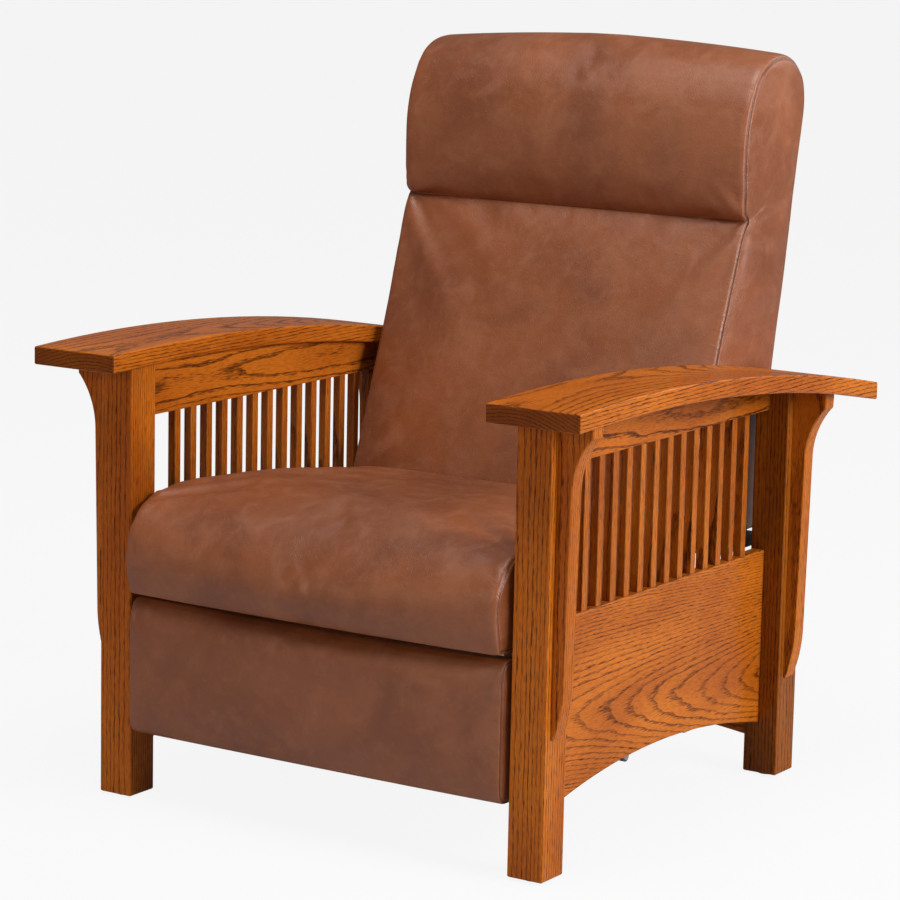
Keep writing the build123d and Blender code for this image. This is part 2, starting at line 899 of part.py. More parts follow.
nodes = {}
panel = make_side_panel() - spindle_row(tenon_fit)
for shank in base_screws(screw_play):
    panel -= shank
upper_rail = make_upper_rail() - spindle_row(tenon_fit)
side_pieces = {"side_panel": panel, "upper_rail": upper_rail, "spindles": spindle_row(0)}
arm = make_arm()
dowels = []
glides = []
for end, y in post_places.items():
    side_pieces[end + "_post"] = make_post(y)
    setback = y - post_side / 2 + corbel_setback
    side_pieces[end + "_corbel"] = make_corbel(setback)
    arm -= dowel(post_x, y, dowel_fit)
    dowels.append(dowel(post_x, y, 0))
    glides.append(Pos(post_x, y, glide_height / 2) * Cylinder(glide_radius, glide_height))
side_pieces["arm"] = arm
side_pieces["base_plate"] = make_base_plate()
for name, piece in side_pieces.items():
    nodes["left_" + name] = piece
    nodes["right_" + name] = other_side(piece)

nodes["arm_dowels"] = both_sides(*dowels)
nodes["post_glides"] = both_sides(*glides)
nodes["rear_stretcher"] = make_stretcher()
nodes["cross_rail"] = block(
    (-side_inner, side_inner),
    (cross_rail_front, cross_rail_front + cross_rail_thickness),
    (cross_rail_bottom, cross_rail_bottom + cross_rail_height),
)
nodes["base_screws"] = both_sides(*base_screws())
nodes["base_rivets"] = both_sides(*[rivet(p, carrier_layer, base_layer, False) for p in base_pivots])

nodes["front_carrier_links"] = both_sides(
    make_link((base_pivots[0], carrier_tops[0]), (base_pivots[0], carrier_tops[0]), carrier_layer)
)
nodes["rear_carrier_links"] = both_sides(
    make_link((base_pivots[1], carrier_tops[1]), (base_pivots[1], carrier_tops[1]), carrier_layer)
)

nodes["seat_cushion"] = make_seat_cushion()
nodes["seat_side_boards"] = both_sides(make_seat_side_board())
nodes["seat_front_board"] = make_seat_cross_board(seat_frame_front)
nodes["seat_rear_board"] = make_seat_cross_board(seat_frame_rear - board_thickness)
nodes["seat_springs"] = make_seat_springs()
nodes["seat_plates"] = both_sides(make_seat_plate())
nodes["seat_screws"] = both_sides(*seat_screws())
seat_rivets = [rivet(p, seat_layer, carrier_layer) for p in carrier_tops]
seat_rivets += [rivet(p, swing_layer, seat_layer) for p in (lift_pivot, guide_pivot, hinge_pivot)]
nodes["seat_rivets"] = both_sides(*seat_rivets)

nodes["lift_links"] = both_sides(make_link((lift_pivot, lift_end), (lift_pivot, lift_end), swing_layer))
nodes["lift_rivets"] = both_sides(rivet(lift_end, reach_layer, swing_layer))
torque_half = swing_layer[0]
torque_tube = rod(torque_axis, torque_tube_radius, (-torque_half, torque_half))
torque_tube -= rod(torque_axis, torque_tube_radius - torque_tube_wall, (-torque_half, torque_half))
nodes["torque_tube"] = torque_tube
nodes["guide_links"] = both_sides(
    make_link((guide_pivot, control_start), (guide_pivot, guide_joint, control_start), swing_layer)
)
nodes["guide_rivets"] = both_sides(
    rivet(guide_joint, reach_layer, swing_layer),
    rivet(control_start, control_layer, swing_layer),
)
nodes["reach_links"] = both_sides(
    make_link((lift_end, footrest_pivot), (lift_end, guide_joint, footrest_pivot), reach_layer)
)
nodes["control_links"] = both_sides(
    make_link((control_start, control_end), (control_start, control_end), control_layer)
)

nodes["footrest_pad"] = make_footrest_pad()
nodes["footrest_board"] = make_footrest_board()
nodes["footrest_brackets"] = both_sides(make_footrest_bracket())
nodes["footrest_screws"] = both_sides(*footrest_screws())
nodes["footrest_rivets"] = both_sides(rivet(footrest_pivot, bracket_layer, reach_layer))

nodes["lower_back_cushion"] = make_lower_back()
nodes["head_cushion"] = make_head_cushion()
nodes["outside_back"] = make_outside_back()
nodes["back_stiles"] = both_sides(make_stile())
nodes["back_bottom_rail"] = make_back_rail(back_bottom)
nodes["back_top_rail"] = make_back_rail(stile_top - back_rail_height)
nodes["back_springs"] = make_back_springs()
nodes["back_brackets"] = both_sides(make_back_bracket())
nodes["back_screws"] = both_sides(*back_screws())

# The origin is on the floor under the middle of the whole chair

boxes = [piece.bounding_box() for piece in nodes.values()]
rearmost = max(box.max.Y for box in boxes)
foremost = min(box.min.Y for box in boxes)
origin_y = (rearmost + foremost) / 2

os.makedirs("parts", exist_ok=True)
for name, piece in nodes.items():
    solids = [Pos(0, -origin_y, 0) * solid for solid in piece.solids()]
    export_step(Compound(solids) if len(solids) > 1 else solids[0], "parts/" + name + ".step")
print(len(nodes), "pieces, y of the origin", round(origin_y, 2))
print("control link ratio", round(control_ratio(), 4))
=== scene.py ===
# %% [markdown]
# A mission reclining armchair: an oak frame with bowed arms and square spindles, and a brown
# leather seat, back and footrest that hidden steel links carry. The solid model holds every
# piece at its real size, so this lesson only dresses it: wood and steel keep their solid
# shapes and get materials, and the soft pieces are made again as padded leather.

# %% Load the solid model
import math

import bpy
import numpy as np
from mathutils import Matrix, Vector, noise


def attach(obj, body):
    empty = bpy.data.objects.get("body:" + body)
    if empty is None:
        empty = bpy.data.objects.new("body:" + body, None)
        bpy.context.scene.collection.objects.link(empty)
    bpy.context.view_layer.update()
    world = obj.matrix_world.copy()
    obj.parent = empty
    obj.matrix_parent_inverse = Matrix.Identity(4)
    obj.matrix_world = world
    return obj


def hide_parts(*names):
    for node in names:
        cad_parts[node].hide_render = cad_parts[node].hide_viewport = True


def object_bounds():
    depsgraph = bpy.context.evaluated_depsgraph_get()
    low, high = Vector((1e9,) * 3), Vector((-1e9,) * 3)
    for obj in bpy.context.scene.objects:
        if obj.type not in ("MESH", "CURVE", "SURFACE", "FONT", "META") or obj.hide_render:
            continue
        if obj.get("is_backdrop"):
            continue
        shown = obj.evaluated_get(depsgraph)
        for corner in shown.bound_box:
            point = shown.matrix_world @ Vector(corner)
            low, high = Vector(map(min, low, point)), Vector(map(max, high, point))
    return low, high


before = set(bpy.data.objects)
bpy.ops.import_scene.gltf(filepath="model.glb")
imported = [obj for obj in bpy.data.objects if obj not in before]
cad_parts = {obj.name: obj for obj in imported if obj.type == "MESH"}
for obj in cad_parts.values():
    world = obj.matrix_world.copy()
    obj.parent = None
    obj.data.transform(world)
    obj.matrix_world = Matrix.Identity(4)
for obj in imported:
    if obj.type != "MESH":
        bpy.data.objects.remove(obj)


def show_box(words, bounds):
    low, high = ([round(v, 3) for v in corner] for corner in bounds)
    print(words, "from", low, "to", high)


solid_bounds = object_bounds()
show_box("solid model", solid_bounds)

# %% [markdown]
# The chair was measured in millimetres, with y counted from the front of the front posts.
# The solid model counts from the middle of its floor area, in metres, so one helper turns
# a measured point into a place in the scene.

# %% From chair millimetres to the scene
FRONT_OF_POSTS = 373.09


def place(x, y, z):
    return Vector((x, y - FRONT_OF_POSTS, z)) / 1000


def in_scene(points):
    """The same for a whole array of points."""
    return (np.asarray(points, float) - (0, FRONT_OF_POSTS, 0)) / 1000


# %% [markdown]
# The camera stands about five metres away, a little above the arms, and looks down by ten
# degrees with a long lens, which keeps the upright lines nearly parallel. Its direction is
# written as three angles: a turn about the upright axis, a tilt down, and a slight roll.

# %% Camera
CAMERA_YAW = 0.5723
CAMERA_TILT = 0.1782
CAMERA_ROLL = 0.021
CAMERA_PLACE = place(2535.3, -3614.0, 1325.0)
FOCAL_LENGTH = 137.1
SENSOR_WIDTH = 36

lens = bpy.data.cameras.new("camera")
lens.lens = FOCAL_LENGTH
lens.sensor_width = SENSOR_WIDTH
lens.clip_end = 200
camera = bpy.data.objects.new("camera", lens)
turn = Matrix.Rotation(CAMERA_YAW, 4, "Z") @ Matrix.Rotation(math.pi / 2 - CAMERA_TILT, 4, "X")
turn = turn @ Matrix.Rotation(CAMERA_ROLL, 4, "Z")
camera.matrix_world = Matrix.Translation(CAMERA_PLACE) @ turn
bpy.context.scene.collection.objects.link(camera)
bpy.context.scene.camera = camera
print("camera looks along", [round(v, 3) for v in turn.col[2].xyz * -1])

# %% [markdown]
# Every finish below is built from shader nodes. Writing each node by hand takes many lines,
# so short helpers add a node, a sum, a colour mix, a remapped range or a group. A value that
# is an output of another node is joined by a link, and any other value is typed in.

# %% Node helpers


def feed(tree, socket, value):
    if isinstance(value, bpy.types.NodeSocket):
        tree.links.new(value, socket)
    else:
        socket.default_value = value


def node(tree, kind, *ordered, **named):
    """Adds a node: ordered values fill its inputs in turn, named ones a setting or an input."""
    made = tree.nodes.new("ShaderNode" + kind)
    for name in [name for name in named if hasattr(made, name)]:
        setattr(made, name, named.pop(name))
    for socket, value in zip(made.inputs, ordered):
        feed(tree, socket, value)
    for name, value in named.items():
        feed(tree, made.inputs[name.replace("_", " ")], value)
    return made


def maths(tree, operation, *values):
    return node(tree, "Math", *values, operation=operation).outputs[0]


def mix(tree, share, first, second, blend="MIX"):
    """Mixes two colours by a share, with one of Blender's blend modes."""
    made = node(tree, "Mix", data_type="RGBA", blend_type=blend)
    for place_in_list, value in ((0, share), (6, first), (7, second)):
        feed(tree, made.inputs[place_in_list], value)
    return made.outputs[2]


def remap(tree, value, low, high, new_low=0.0, new_high=1.0, smooth=True):
    kind = "SMOOTHSTEP" if smooth else "LINEAR"
    made = node(tree, "MapRange", value, low, high, new_low, new_high, interpolation_type=kind)
    return made.outputs[0]


def shift_and_scale(tree, vector, offset, scale):
    moved = node(tree, "VectorMath", vector, offset, operation="ADD").outputs[0]
    return node(tree, "VectorMath", moved, scale, operation="MULTIPLY").outputs[0]


def group(name, inputs, outputs):
    """An empty node group with named sockets, and its input and output nodes."""
    tree = bpy.data.node_groups.new(name, "ShaderNodeTree")
    for label, kind, start in inputs:
        socket = tree.interface.new_socket(label, in_out="INPUT", socket_type="NodeSocket" + kind)
        if start is not None:
            socket.default_value = start
    for label, kind in outputs:
        tree.interface.new_socket(label, in_out="OUTPUT", socket_type="NodeSocket" + kind)
    return tree, tree.nodes.new("NodeGroupInput").outputs, tree.nodes.new("NodeGroupOutput").inputs


def use(tree, shared, **values):
    """Places a node group in a tree, with its own values."""
    made = tree.nodes.new("ShaderNodeGroup")
    made.node_tree = shared
    for name, value in values.items():
        feed(tree, made.inputs[name.replace("_", " ")], value)
    return made.outputs


def colour(red, green, blue):
    """A colour as it looks on screen, from 0 to 255, turned into the linear one that nodes take."""
    shares = [v / 255 for v in (red, green, blue)]
    return tuple(v / 12.92 if v <= 0.04045 else ((v + 0.055) / 1.055) ** 2.4 for v in shares) + (1.0,)


# %% [markdown]
# Wood grain is a slice through a log. Rings stand around the heart of the log, and a board
# shows straight lines where it cuts them square and pointed arches where it cuts them flat.
# So the group measures how far each point is from a heart line, which may lean away from
# the board, bends that distance with slow noise, and divides it by the width of a ring.
# Each ring of oak starts with a row of open pores, which take up stain and look like dark
# dashes along the grain.

# %% Shared group: oak grain
grain, grain_in, grain_out = group(
    "wood_grain",
    [
        ("Vector", "Vector", None),
        ("Own", "Float", 0.0),
        ("Heart", "Vector", (0.1, 0.1, 0.0)),
        ("Lean", "Vector", (0.0, 0.0, 0.0)),
        ("Ring", "Float", 0.004),
        ("Wander", "Float", 0.03),
        ("Rings", "Float", 0.7),
        ("Pores", "Float", 1.0),
        ("Dark", "Color", (0, 0, 0, 1)),
        ("Middle", "Color", (0, 0, 0, 1)),
        ("Light", "Color", (0, 0, 0, 1)),
    ],
    [("Color", "Color"), ("Roughness", "Float"), ("Height", "Float")],
)
own_place = node(grain, "CombineXYZ", 0.0, 0.0, grain_in["Own"]).outputs[0]
shifted = node(grain, "VectorMath", grain_in["Vector"], own_place, operation="ADD").outputs[0]
slow = shift_and_scale(grain, shifted, (0.0, 0.0, 0.0), (1.0, 1.0, 0.32))
bend = node(grain, "TexNoise", Vector=slow, Scale=4.2, Detail=1.5, Roughness=0.45).outputs["Color"]
bend = node(grain, "VectorMath", bend, (0.5, 0.5, 0.5), operation="SUBTRACT").outputs[0]
bend_size = maths(grain, "MULTIPLY", grain_in["Wander"], 2.0)
bend = node(grain, "VectorMath", bend, operation="SCALE", Scale=bend_size).outputs[0]
bent = node(grain, "VectorMath", shifted, bend, operation="ADD").outputs[0]
along = node(grain, "SeparateXYZ", grain_in["Vector"]).outputs[2]
heart_here = node(grain, "VectorMath", grain_in["Lean"], operation="SCALE", Scale=along).outputs[0]
heart_here = node(grain, "VectorMath", grain_in["Heart"], heart_here, operation="ADD").outputs[0]
across_grain = node(grain, "VectorMath", bent, heart_here, operation="SUBTRACT").outputs[0]
across_grain = node(grain, "VectorMath", across_grain, (1.0, 1.0, 0.0), operation="MULTIPLY").outputs[0]
from_heart = node(grain, "VectorMath", across_grain, operation="LENGTH").outputs["Value"]
shiver_at = shift_and_scale(grain, shifted, (0.0, 0.0, 0.0), (1.0, 1.0, 0.2))
shiver = node(grain, "TexNoise", Vector=shiver_at, Scale=70.0, Detail=2.0).outputs[0]
rings = maths(grain, "DIVIDE", from_heart, grain_in["Ring"])
rings = maths(grain, "ADD", rings, maths(grain, "MULTIPLY", shiver, 0.8))
dash_at = shift_and_scale(grain, bent, (0.0, 0.0, 0.0), (1.0, 1.0, 0.1))
jagged = node(grain, "TexNoise", Vector=dash_at, Scale=520.0, Detail=1.0).outputs[0]
phase = maths(grain, "FRACT", rings)
ring_number = maths(grain, "FLOOR", rings)
ring_look = node(grain, "TexWhiteNoise", W=ring_number, noise_dimensions="1D").outputs["Value"]
fraying = maths(grain, "MULTIPLY", maths(grain, "SUBTRACT", jagged, 0.5), 0.9)
frayed = maths(grain, "ADD", phase, fraying)
porous = maths(grain, "SUBTRACT", 1.0, remap(grain, frayed, 0.1, 0.42))
porous = maths(grain, "MULTIPLY", porous, remap(grain, phase, 0.0, 0.06))
porous = maths(grain, "MULTIPLY", porous, remap(grain, ring_look, 0.0, 1.0, 0.55, 1.0))
dashes = node(grain, "TexNoise", Vector=dash_at, Scale=900.0, Detail=0.0).outputs[0]
dashes = remap(grain, dashes, 0.48, 0.62)
amount = maths(grain, "ADD", maths(grain, "MULTIPLY", porous, 0.7), 0.3)
pores = maths(grain, "MULTIPLY", maths(grain, "MULTIPLY", dashes, amount), grain_in["Pores"])
tone = node(grain, "TexNoise", Vector=slow, Scale=9.0, Detail=3.0).outputs[0]
body_colour = mix(grain, remap(grain, tone, 0.3, 0.7), grain_in["Middle"], grain_in["Light"])
ring_share = maths(grain, "MULTIPLY", porous, grain_in["Rings"])
body_colour = mix(grain, ring_share, body_colour, grain_in["Dark"])
pored_colour = mix(grain, maths(grain, "MULTIPLY", pores, 0.85), body_colour, grain_in["Dark"])
grain.links.new(pored_colour, grain_out["Color"])
grain.links.new(remap(grain, pores, 0.0, 1.0, 0.3, 0.55, smooth=False), grain_out["Roughness"])
grain.links.new(maths(grain, "SUBTRACT", 1.0, pores), grain_out["Height"])
print("wood grain group has", len(grain.nodes), "nodes")

# %% [markdown]
# Hands and cloths rub the finish on an edge, which leaves it paler. Blender's Bevel node
# gives the surface direction as if every edge were rounded, so wherever that differs from
# the true direction there is an edge nearby. Noise breaks the line up.

# %% Shared group: worn edges
wear, wear_in, wear_out = group(
    "worn_edges",
    [("Vector", "Vector", None), ("Width", "Float", 0.002), ("Amount", "Float", 0.5)],
    [("Edge", "Float"), ("Normal", "Vector")],
)
rounded = node(wear, "Bevel", samples=4, Radius=wear_in["Width"]).outputs[0]
true_normal = node(wear, "NewGeometry").outputs["Normal"]
same = node(wear, "VectorMath", rounded, true_normal, operation="DOT_PRODUCT").outputs["Value"]
edge = remap(wear, same, 0.985, 0.86)
patches = node(wear, "TexNoise", Vector=wear_in["Vector"], Scale=38.0, Detail=3.0).outputs[0]
edge = maths(wear, "MULTIPLY", edge, remap(wear, patches, 0.3, 0.7, 0.35, 1.0))
wear.links.new(maths(wear, "MULTIPLY", edge, wear_in["Amount"]), wear_out["Edge"])
wear.links.new(rounded, wear_out["Normal"])

# %% [markdown]
# The oak is stained orange-brown under a satin lacquer. Posts, arms, rails and panels share
# the two groups above, but each kind of board is cut from another place in the log, so
# each has its own heart line and ring width. Sawn ends drink more stain, so they are
# darker. The grain group counts along the grain as z, and a turn of the coordinates lays
# it along y or x for the other boards. Left and right boards share a mirrored coordinate,
# and a shift that differs for each object keeps them from being twins.

# %% Oak finishes
STAIN_DARK = colour(64, 23, 5)
STAIN_MIDDLE = colour(164, 82, 17)
STAIN_LIGHT = colour(194, 107, 28)
WORN_WOOD = colour(222, 160, 96)


def plain_material(name):
    made = bpy.data.materials.new(name)
    made.use_nodes = True
    tree = made.node_tree
    return made, tree, tree.nodes["Principled BSDF"]


def toned(tint, dark, middle, light):
    """The three colour inputs that the grain and hide groups share, all made darker by a tint."""
    tones = zip(("Dark", "Middle", "Light"), (dark, middle, light))
    return {label: tuple(v * tint for v in tone[:3]) + (1.0,) for label, tone in tones}


def board_coordinates(tree, along):
    """Coordinates with the grain along z, mirrored left to right."""
    at = node(tree, "TexCoord").outputs["Object"]
    x, y, z = node(tree, "SeparateXYZ", at).outputs
    outward = maths(tree, "ABSOLUTE", x)
    order = {"z": (outward, y, z), "y": (outward, z, y), "x": (y, z, x)}
    return node(tree, "CombineXYZ", *order[along]).outputs[0]


def own_shift(tree):
    """A length along the grain that differs for each object."""
    return maths(tree, "MULTIPLY", node(tree, "ObjectInfo").outputs["Random"], 9.0)


def oak(name, along, heart, ring, wander=0.03, lean=(0.0, 0.0), rings=0.7, pores=1.0, tint=1.0):
    made, tree, shader = plain_material(name)
    at = board_coordinates(tree, along)
    tones = toned(tint, STAIN_DARK, STAIN_MIDDLE, STAIN_LIGHT)
    log = {"Heart": (*heart, 0.0), "Lean": (*lean, 0.0), "Ring": ring, "Wander": wander}
    cut = use(tree, grain, Vector=at, Own=own_shift(tree), Rings=rings, Pores=pores, **log, **tones)
    facing = node(tree, "SeparateXYZ", node(tree, "TexCoord").outputs["Normal"]).outputs["xyz".index(along)]
    end_grain = remap(tree, maths(tree, "ABSOLUTE", facing), 0.6, 0.9, 0.0, 0.62)
    stained = mix(tree, end_grain, cut["Color"], tones["Dark"])
    edges = use(tree, wear, Vector=at, Width=0.0022, Amount=0.42)
    feed(tree, shader.inputs["Base Color"], mix(tree, edges["Edge"], stained, WORN_WOOD))
    feed(tree, shader.inputs["Roughness"], cut["Roughness"])
    bump = node(tree, "Bump", Strength=0.25, Distance=0.0006, Height=cut["Height"], Normal=edges["Normal"])
    feed(tree, shader.inputs["Normal"], bump.outputs[0])
    shader.inputs["Specular IOR Level"].default_value = 0.06
    shader.inputs["Coat Weight"].default_value = 0.14
    shader.inputs["Coat Roughness"].default_value = 0.18
    return made


oak_post = oak("oak_post", "z", (0.27, -0.46), 0.0044, wander=0.012)
# The rear posts get the same stain darkened by a tint of 0.55: painted shade for the arm's shadow that
# falls on them.
oak_rear_post_painted_shade = oak("oak_rear_post_painted_shade", "z", (0.24, 0.22), 0.0048, wander=0.012, tint=0.55)
oak_corbel = oak("oak_corbel", "z", (0.30, -0.5), 0.0042, wander=0.01)
oak_spindle = oak("oak_spindle", "z", (0.22, -0.6), 0.0034, wander=0.014)
oak_arm = oak("oak_arm", "y", (0.33, 0.42), 0.0046, wander=0.016, rings=0.85)
oak_rail = oak("oak_rail", "y", (0.26, 0.575), 0.0055, wander=0.022, rings=0.85)
oak_panel = oak("oak_panel", "y", (0.222, 0.166), 0.0036, wander=0.02, lean=(0.06, -0.1))
oak_stretcher = oak("oak_stretcher", "x", (0.20, 0.115), 0.005, wander=0.02)

# %% [markdown]
# Under the leather the frame is bare sawn wood, and the mechanism is black powder-coated
# and zinc-plated steel. None of it shows from the front while the chair is closed, but the
# open footrest and a view from below do show it, so each gets its own finish.

# %% Hidden wood, steel and plastic


def bare_wood(name):
    made, tree, shader = plain_material(name)
    at = board_coordinates(tree, "x")
    cut = use(
        tree, grain, Vector=at, Own=own_shift(tree), Heart=(0.1, 0.5, 0.0), Ring=0.006,
        Wander=0.02, Pores=0.35,
        Dark=colour(150, 110, 66), Middle=colour(206, 172, 124), Light=colour(222, 190, 146),
    )
    feed(tree, shader.inputs["Base Color"], cut["Color"])
    shader.inputs["Roughness"].default_value = 0.75
    bump = node(tree, "Bump", Strength=0.4, Distance=0.0005, Height=cut["Height"])
    feed(tree, shader.inputs["Normal"], bump.outputs[0])
    return made


def metal(name, tone, metallic, rough, worn, speck):
    made, tree, shader = plain_material(name)
    at = node(tree, "TexCoord").outputs["Object"]
    spots = node(tree, "TexNoise", Vector=at, Scale=speck, Detail=4.0).outputs[0]
    edges = use(tree, wear, Vector=at, Width=0.0008, Amount=0.5)
    shade = tuple(v * 0.72 for v in tone[:3]) + (1.0,)
    surface = mix(tree, remap(tree, spots, 0.35, 0.65), shade, tone)
    feed(tree, shader.inputs["Base Color"], mix(tree, edges["Edge"], surface, worn))
    shader.inputs["Metallic"].default_value = metallic
    feed(tree, shader.inputs["Roughness"], remap(tree, spots, 0.3, 0.7, rough - 0.07, rough + 0.09))
    bump = node(tree, "Bump", Strength=0.2, Distance=0.0003, Height=spots, Normal=edges["Normal"])
    feed(tree, shader.inputs["Normal"], bump.outputs[0])
    return made


sawn_wood = bare_wood("sawn_wood")
black_steel = metal("black_steel", colour(52, 52, 55), 0.0, 0.42, colour(128, 128, 130), 420.0)
zinc_steel = metal("zinc_steel", colour(196, 196, 190), 1.0, 0.32, colour(226, 226, 222), 160.0)
spring_steel = metal("spring_steel", colour(120, 118, 114), 1.0, 0.38, colour(170, 168, 162), 260.0)
glide_plastic = metal("glide_plastic", colour(58, 40, 28), 0.0, 0.55, colour(92, 70, 52), 300.0)

# %% [markdown]
# The leather is a brown aniline hide, dyed through and only lightly finished, so its colour
# drifts in soft clouds from brown to a greyer tan. Close up it has small rounded pebbles
# with fine creases between them. One group gives all three: clouds and flecks from three
# sizes of noise, pebbles from a Voronoi pattern, and faint hairlines from noise taken near
# its middle value.

# %% Shared group: hide
hide, hide_in, hide_out = group(
    "hide",
    [
        ("Vector", "Vector", None),
        ("Clouds", "Float", 6.0),
        ("Pebbles", "Float", 520.0),
        ("Dark", "Color", (0, 0, 0, 1)),
        ("Middle", "Color", (0, 0, 0, 1)),
        ("Light", "Color", (0, 0, 0, 1)),
    ],
    [("Color", "Color"), ("Roughness", "Float"), ("Height", "Float")],
)


def hide_noise(times_finer, detail, roughness, distortion):
    """Noise whose features are some times finer than the hide's clouds."""
    scale = maths(hide, "MULTIPLY", hide_in["Clouds"], times_finer)
    made = node(
        hide, "TexNoise", Vector=hide_in["Vector"], Scale=scale, Detail=detail,
        Roughness=roughness, Distortion=distortion,
    )
    return made.outputs[0]


big = hide_noise(1.0, 4.0, 0.55, 0.6)
small = hide_noise(3.4, 5.0, 0.6, 0.9)
fleck = hide_noise(13.0, 4.0, 0.65, 0.5)
cloud = mix(hide, remap(hide, big, 0.25, 0.7), hide_in["Dark"], hide_in["Middle"])
cloud = mix(hide, remap(hide, small, 0.42, 0.75, 0.0, 0.32), cloud, hide_in["Light"])
cloud = mix(hide, remap(hide, fleck, 0.5, 0.75, 0.0, 0.2), cloud, hide_in["Light"])
cloud = mix(hide, remap(hide, fleck, 0.3, 0.5, 0.2, 0.0), cloud, hide_in["Dark"])
crease = hide_noise(9.0, 3.0, 0.5, 1.6)
crease = maths(hide, "ABSOLUTE", maths(hide, "SUBTRACT", crease, 0.5))
crease = maths(hide, "SUBTRACT", 1.0, remap(hide, crease, 0.0, 0.016))
pebble = node(hide, "TexVoronoi", Vector=hide_in["Vector"], Scale=hide_in["Pebbles"], feature="F1")
pebble = maths(hide, "SUBTRACT", 1.0, remap(hide, pebble.outputs["Distance"], 0.1, 0.75))
cloud = mix(hide, maths(hide, "MULTIPLY", crease, 0.16), cloud, hide_in["Dark"])
hide.links.new(cloud, hide_out["Color"])
hide.links.new(remap(hide, small, 0.3, 0.7, 0.38, 0.52), hide_out["Roughness"])
crease_depth = maths(hide, "MULTIPLY", crease, 0.5)
relief = maths(hide, "SUBTRACT", maths(hide, "MULTIPLY", pebble, 0.5), crease_depth)
hide.links.new(relief, hide_out["Height"])
print("hide group has", len(hide.nodes), "nodes")

# %% [markdown]
# Three materials use the hide: the fronts that are sat on, the boxing at the sides, whose
# clouds are drawn out a little, and the outside back, which is a plainer split of the hide.
# The cushions' meshes mark their seams and how near each point is to one, so the material
# darkens the stitched groove with painted shade and puckers the leather beside it.

# %% Leather finishes
HIDE_DARK = colour(113, 58, 28)
HIDE_MIDDLE = colour(138, 76, 40)
HIDE_LIGHT = colour(158, 102, 70)


def leather(name, clouds=6.0, tint=1.0, gloss=0.6, stretch=(1.0, 1.0, 1.0)):
    made, tree, shader = plain_material(name)
    at = node(tree, "TexCoord").outputs["Object"]
    own = node(tree, "ObjectInfo").outputs["Random"]
    at = node(tree, "VectorMath", at, own, operation="ADD").outputs[0]
    at = node(tree, "VectorMath", at, stretch, operation="MULTIPLY").outputs[0]
    tones = toned(tint, HIDE_DARK, HIDE_MIDDLE, HIDE_LIGHT)
    skin = use(tree, hide, Vector=at, Clouds=clouds, Pebbles=520.0, **tones)
    sewn = node(tree, "Attribute", attribute_name="seam").outputs["Fac"]
    # Painted shade: the stitched groove is darkened towards a third of the darkest hide tone.
    seam_shade = tuple(v * 0.3 for v in HIDE_DARK[:3]) + (1.0,)
    seamed = mix(tree, maths(tree, "MULTIPLY", sewn, 0.7), skin["Color"], seam_shade)
    feed(tree, shader.inputs["Base Color"], seamed)
    feed(tree, shader.inputs["Roughness"], skin["Roughness"])
    near = node(tree, "Attribute", attribute_name="near_seam").outputs["Fac"]
    drawn_out = shift_and_scale(tree, at, (0.0, 0.0, 0.0), (0.22, 1.0, 1.0))
    pucker = node(tree, "TexNoise", Vector=drawn_out, Scale=120.0, Detail=2.0).outputs[0]
    pucker = maths(tree, "MULTIPLY", maths(tree, "MULTIPLY", pucker, near), 5.0)
    height = maths(tree, "ADD", skin["Height"], pucker)
    bump = node(tree, "Bump", Strength=0.35, Distance=0.0006, Height=height)
    feed(tree, shader.inputs["Normal"], bump.outputs[0])
    shader.inputs["Specular IOR Level"].default_value = gloss
    return made


leather_face = leather("leather_face")
leather_side = leather("leather_side", gloss=0.5, stretch=(1.0, 0.8, 1.0))
leather_rear = leather("leather_rear", clouds=4.5, tint=0.95)

# %% [markdown]
# The solid pieces already have the right shapes, so they only change their material. The
# list below names each kind of piece once, and the same finish goes to its left and right.

# %% Finishes on the solid pieces
finishes = {
    "front_post": oak_post, "rear_post": oak_rear_post_painted_shade, "front_corbel": oak_corbel,
    "rear_corbel": oak_corbel, "arm": oak_arm, "upper_rail": oak_rail, "side_panel": oak_panel,
    "spindles": oak_spindle, "arm_dowels": oak_spindle, "rear_stretcher": oak_stretcher,
    "cross_rail": sawn_wood, "board": sawn_wood, "boards": sawn_wood, "stiles": sawn_wood,
    "back_bottom_rail": sawn_wood, "back_top_rail": sawn_wood, "glides": glide_plastic,
    "springs": spring_steel, "screws": zinc_steel, "rivets": zinc_steel,
    "plate": black_steel, "plates": black_steel, "links": black_steel, "brackets": black_steel,
    "torque_tube": black_steel,
}
dressed = 0
for name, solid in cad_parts.items():
    ending = max((end for end in finishes if name.endswith(end)), key=len, default=None)
    if ending:
        solid.data.materials.clear()
        solid.data.materials.append(finishes[ending])
        dressed += 1
print(dressed, "solid pieces have a finish")

# %% [markdown]
# Each cushion is a tube of leather around a side outline, closed at both ends by a panel of
# leather that upholsterers call boxing. The outline is given as four runs of measured
# points, in front, over the top, down the rear and along the bottom, so that a four-sided
# patch fills the boxing. A smooth curve goes through the points of each run, and rows are
# spaced closer beside a seam, because a seam is only a few millimetres wide.

# %% Smooth runs through measured points


def smooth_run(points, places_along):
    """Points at the given shares of the length of a smooth curve through the measured ones."""
    given = np.array(points, float)
    padded = np.vstack([2 * given[0] - given[1], given, 2 * given[-1] - given[-2]])
    fine = []
    for a, b, c, d in zip(padded, padded[1:], padded[2:], padded[3:]):
        for t in np.linspace(0, 1, 16, endpoint=False):
            squared = (2 * a - 5 * b + 4 * c - d) * t**2
            cubed = (3 * b - a - 3 * c + d) * t**3
            fine.append(0.5 * (2 * b + (c - a) * t + squared + cubed))
    fine = np.array(fine + [given[-1]])
    travelled = np.concatenate([[0], np.cumsum(np.linalg.norm(np.diff(fine, axis=0), axis=1))])
    wanted = np.asarray(places_along) * travelled[-1]
    return np.stack([np.interp(wanted, travelled, fine[:, axis]) for axis in range(2)], axis=1)


SEAM_ROWS = (0.0, 1.5, 3.5, 6.5, 11.0)
CORNER_ROWS = (0.0, 4.0, 9.0)


